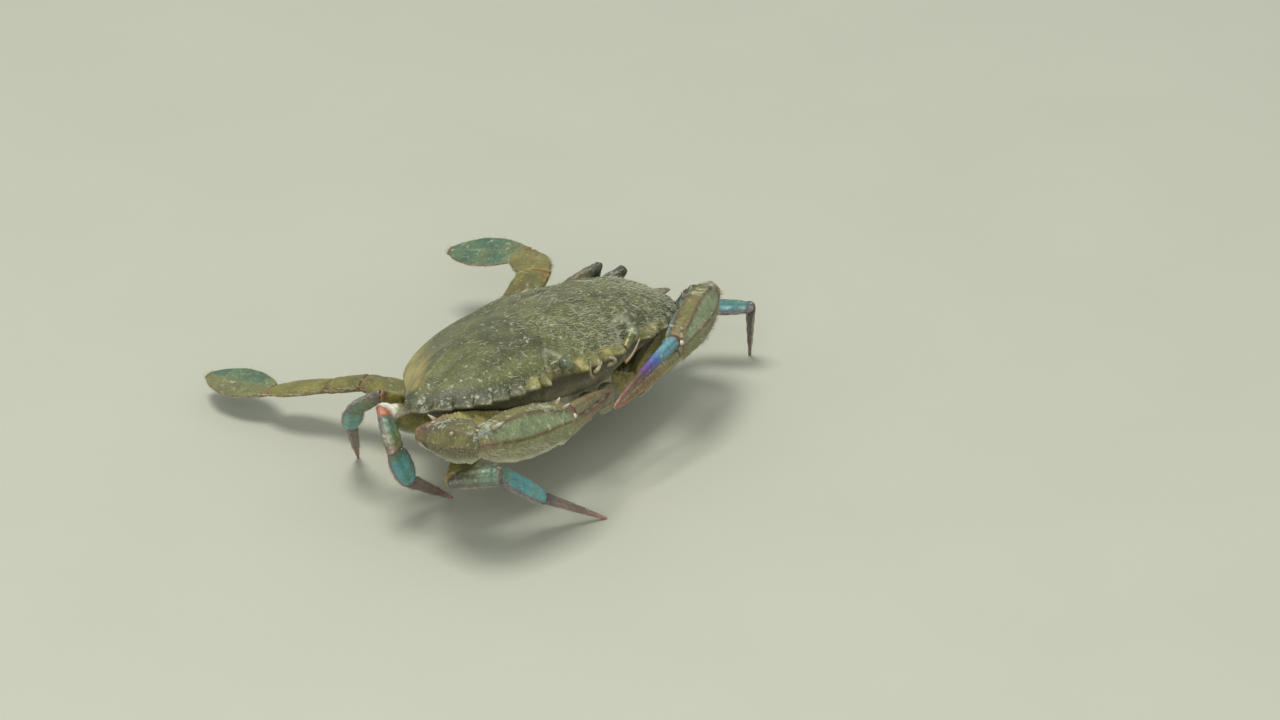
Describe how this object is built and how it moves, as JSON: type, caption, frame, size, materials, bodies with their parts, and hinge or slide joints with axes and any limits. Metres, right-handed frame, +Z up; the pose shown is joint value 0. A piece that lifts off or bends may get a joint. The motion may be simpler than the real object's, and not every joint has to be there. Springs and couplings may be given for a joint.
{
  "type": "blue swimming crab",
  "caption": "Life-size swimming crab, standing still on its walking legs with both claws folded in front and the swimming paddles spread behind.",
  "frame": {"origin": "middle of the bounding box, on the floor the crab stands on", "axes": "+Z up, -Y the way the crab faces, +X the crab's left"},
  "size_m": [0.173, 0.1541, 0.0553],
  "materials": {
    "olive_shell": "wet olive-green shell with a fine pale silt, granular",
    "pale_underside": "smooth cream-white underside shell",
    "blue_leg": "smooth blue-green leg shell with grooves and hair fringes",
    "teal_paddle": "smooth olive and teal paddle shell with a brown rim",
    "orange_finger": "orange-brown ribbed claw finger and feeler shell",
    "dark_eye": "glossy dark brown eye on a short stalk"
  },
  "bodies": {
    "root": {"carapace": "olive_shell", "sternum": "pale_underside", "abdomen": "pale_underside", "maxilliped_l": "pale_underside", "maxilliped_r": "pale_underside", "eye_l": "dark_eye", "eye_r": "dark_eye", "antenna_l": "orange_finger", "antenna_r": "orange_finger", "claw_l_ischium": "olive_shell", "claw_l_merus": "olive_shell", "claw_l_carpus": "olive_shell", "claw_l_palm": "olive_shell", "claw_l_dactyl": "orange_finger", "leg2_l_ischium": "blue_leg", "leg2_l_merus": "blue_leg", "leg2_l_carpus": "blue_leg", "leg2_l_propodus": "blue_leg", "leg2_l_dactyl": "blue_leg", "leg3_l_ischium": "blue_leg", "leg3_l_merus": "blue_leg", "leg3_l_carpus": "blue_leg", "leg3_l_propodus": "blue_leg", "leg3_l_dactyl": "blue_leg", "leg4_l_ischium": "blue_leg", "leg4_l_merus": "blue_leg", "leg4_l_carpus": "blue_leg", "leg4_l_propodus": "blue_leg", "leg4_l_dactyl": "blue_leg", "paddle_l_ischium": "teal_paddle", "paddle_l_merus": "teal_paddle", "paddle_l_carpus": "teal_paddle", "paddle_l_propodus": "teal_paddle", "paddle_l_dactyl": "teal_paddle", "claw_r_ischium": "olive_shell", "claw_r_merus": "olive_shell", "claw_r_carpus": "olive_shell", "claw_r_palm": "olive_shell", "claw_r_dactyl": "orange_finger", "leg2_r_ischium": "blue_leg", "leg2_r_merus": "blue_leg", "leg2_r_carpus": "blue_leg", "leg2_r_propodus": "blue_leg", "leg2_r_dactyl": "blue_leg", "leg3_r_ischium": "blue_leg", "leg3_r_merus": "blue_leg", "leg3_r_carpus": "blue_leg", "leg3_r_propodus": "blue_leg", "leg3_r_dactyl": "blue_leg", "leg4_r_ischium": "blue_leg", "leg4_r_merus": "blue_leg", "leg4_r_carpus": "blue_leg", "leg4_r_propodus": "blue_leg", "leg4_r_dactyl": "blue_leg", "paddle_r_ischium": "teal_paddle", "paddle_r_merus": "teal_paddle", "paddle_r_carpus": "teal_paddle", "paddle_r_propodus": "teal_paddle", "paddle_r_dactyl": "teal_paddle"}
  },
  "joints": []
}
